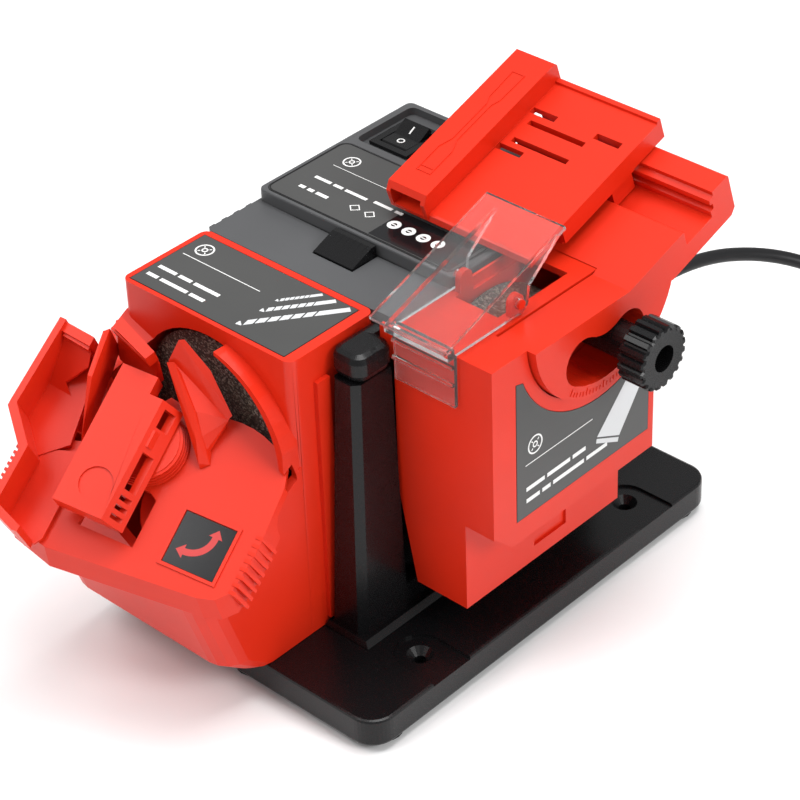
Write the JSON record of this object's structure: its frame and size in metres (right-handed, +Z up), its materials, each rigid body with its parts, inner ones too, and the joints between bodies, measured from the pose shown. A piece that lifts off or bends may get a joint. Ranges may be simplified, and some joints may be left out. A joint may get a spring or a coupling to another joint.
{
  "type": "bench sharpener",
  "caption": "Motorised bench sharpener with a swivelling drill-bit holder facing an abrasive disc and a tilting slide for chisels over a grinding wheel, on a flat base with rubber feet.",
  "frame": {"origin": "bottom centre of the machine's bounding box, measured without the mains cord", "axes": "+X towards the chisel module, +Y away from the operator, +Z up"},
  "size_m": [0.3119, 0.4433, 0.1975],
  "materials": {
    "red_plastic": "satin moulded ABS",
    "black_plastic": "satin moulded ABS",
    "grey_plastic": "satin moulded ABS",
    "sticker": "printed foil",
    "black_sticker": "glossy printed foil",
    "abrasive": "bonded abrasive grain",
    "steel": "turned",
    "motor_steel": "zinc plated",
    "copper": "wound copper and laminations",
    "nylon": "moulded nylon",
    "rubber": "matt",
    "cord_rubber": "smooth",
    "clear_plastic": "clear moulded acrylic"
  },
  "bodies": {
    "housing": {"base_plate": "black_plastic", "foot_1": "rubber", "foot_2": "rubber", "foot_3": "rubber", "foot_4": "rubber", "foot_5": "rubber", "main_housing": "black_plastic", "tower_cap": "black_plastic", "upper_shell": "grey_plastic", "control_label": "sticker", "switch_frame": "black_plastic", "motor_can": "motor_steel", "motor_end_cap": "nylon", "bearing_front": "steel", "bearing_side": "steel", "drill_housing": "red_plastic", "drill_label": "sticker", "chisel_housing": "red_plastic", "chisel_label": "sticker", "strain_relief": "rubber", "cord_free": "cord_rubber", "cord_coil": "cord_rubber", "cord_tie": "nylon", "cord_tail": "cord_rubber", "cord_plug": "black_plastic"},
    "motor_rotor": {"motor_armature": "copper", "motor_pinion": "steel", "motor_fan": "nylon"},
    "drill_spindle": {"spindle_shaft": "steel", "spindle_gear": "nylon", "drill_disc": "abrasive", "disc_screw": "steel", "bevel_gear_front": "steel"},
    "cross_spindle": {"cross_shaft": "steel", "bevel_gear_side": "steel", "chisel_wheel": "abrasive"},
    "swivel": {"swivel_plate": "red_plastic", "swivel_label": "black_sticker", "swivel_screw": "steel", "swivel_fence": "red_plastic", "jaw_left": "red_plastic", "jaw_right": "red_plastic", "clamp_stud": "steel", "clamp_pin": "steel"},
    "clamp_arm": {"clamp_arm": "red_plastic"},
    "thumbwheel": {"thumbwheel": "red_plastic"},
    "tilt_bracket": {"tilt_bracket": "red_plastic"},
    "slide_plate": {"slide_plate": "red_plastic"},
    "clamp_knob": {"clamp_knob": "black_plastic"},
    "guard": {"guard": "clear_plastic"},
    "rocker": {"switch_rocker": "black_plastic"},
    "latch": {"release_latch": "black_plastic"}
  },
  "joints": [
    {"name": "spindle_spin", "type": "hinge", "parent": "housing", "child": "drill_spindle", "pos_m": [-0.04435, -0.04569, 0.107], "axis": [0, 1, 0], "continuous": true},
    {"name": "motor_spin", "type": "hinge", "parent": "housing", "child": "motor_rotor", "pos_m": [-0.04435, 0.01831, 0.0676], "axis": [0, 1, 0], "continuous": true},
    {"name": "cross_spin", "type": "hinge", "parent": "housing", "child": "cross_spindle", "pos_m": [0.00265, 0.04031, 0.107], "axis": [1, 0, 0], "continuous": true},
    {"name": "swivel_turn", "type": "hinge", "parent": "housing", "child": "swivel", "pos_m": [-0.01528, -0.08205, 0.09375], "axis": [0.3126, -0.4741, 0.8231], "range_deg": [-4, 12]},
    {"name": "arm_tip", "type": "hinge", "parent": "swivel", "child": "clamp_arm", "pos_m": [-0.04746, -0.08747, 0.11682], "axis": [0.9366, 0.2982, -0.1839], "range_deg": [0, 4]},
    {"name": "thumbwheel_turn", "type": "hinge", "parent": "swivel", "child": "thumbwheel", "pos_m": [-0.04543, -0.08023, 0.10625], "axis": [0.3126, -0.4741, 0.8231], "range_deg": [-180, 180]},
    {"name": "bracket_tilt", "type": "hinge", "parent": "housing", "child": "tilt_bracket", "pos_m": [0.06465, 0.05511, 0.158], "axis": [1, 0, 0], "range_deg": [0, 20]},
    {"name": "plate_slide", "type": "slide", "parent": "tilt_bracket", "child": "slide_plate", "axis": [1, 0, 0], "range_m": [-0.015, 0.02]},
    {"name": "knob_turn", "type": "hinge", "parent": "housing", "child": "clamp_knob", "pos_m": [0.08265, 0.06331, 0.135], "axis": [1, 0, 0], "range_deg": [-180, 180]},
    {"name": "guard_flip", "type": "hinge", "parent": "housing", "child": "guard", "pos_m": [0.05365, 0.02831, 0.16], "axis": [1, 0, 0], "range_deg": [-20, 0]},
    {"name": "rocker_tip", "type": "hinge", "parent": "housing", "child": "rocker", "pos_m": [-0.07135, 0.09981, 0.1543], "axis": [1, 0, 0], "range_deg": [-12, 0]},
    {"name": "latch_press", "type": "slide", "parent": "housing", "child": "latch", "axis": [0, 0, -1], "range_m": [0, 0.0025], "stiffness_N_per_m": 1200}
  ],
  "couplings": [
    {"joint": "motor_spin", "follows": "spindle_spin", "ratio": -4.7273},
    {"joint": "cross_spin", "follows": "spindle_spin", "ratio": 1}
  ]
}
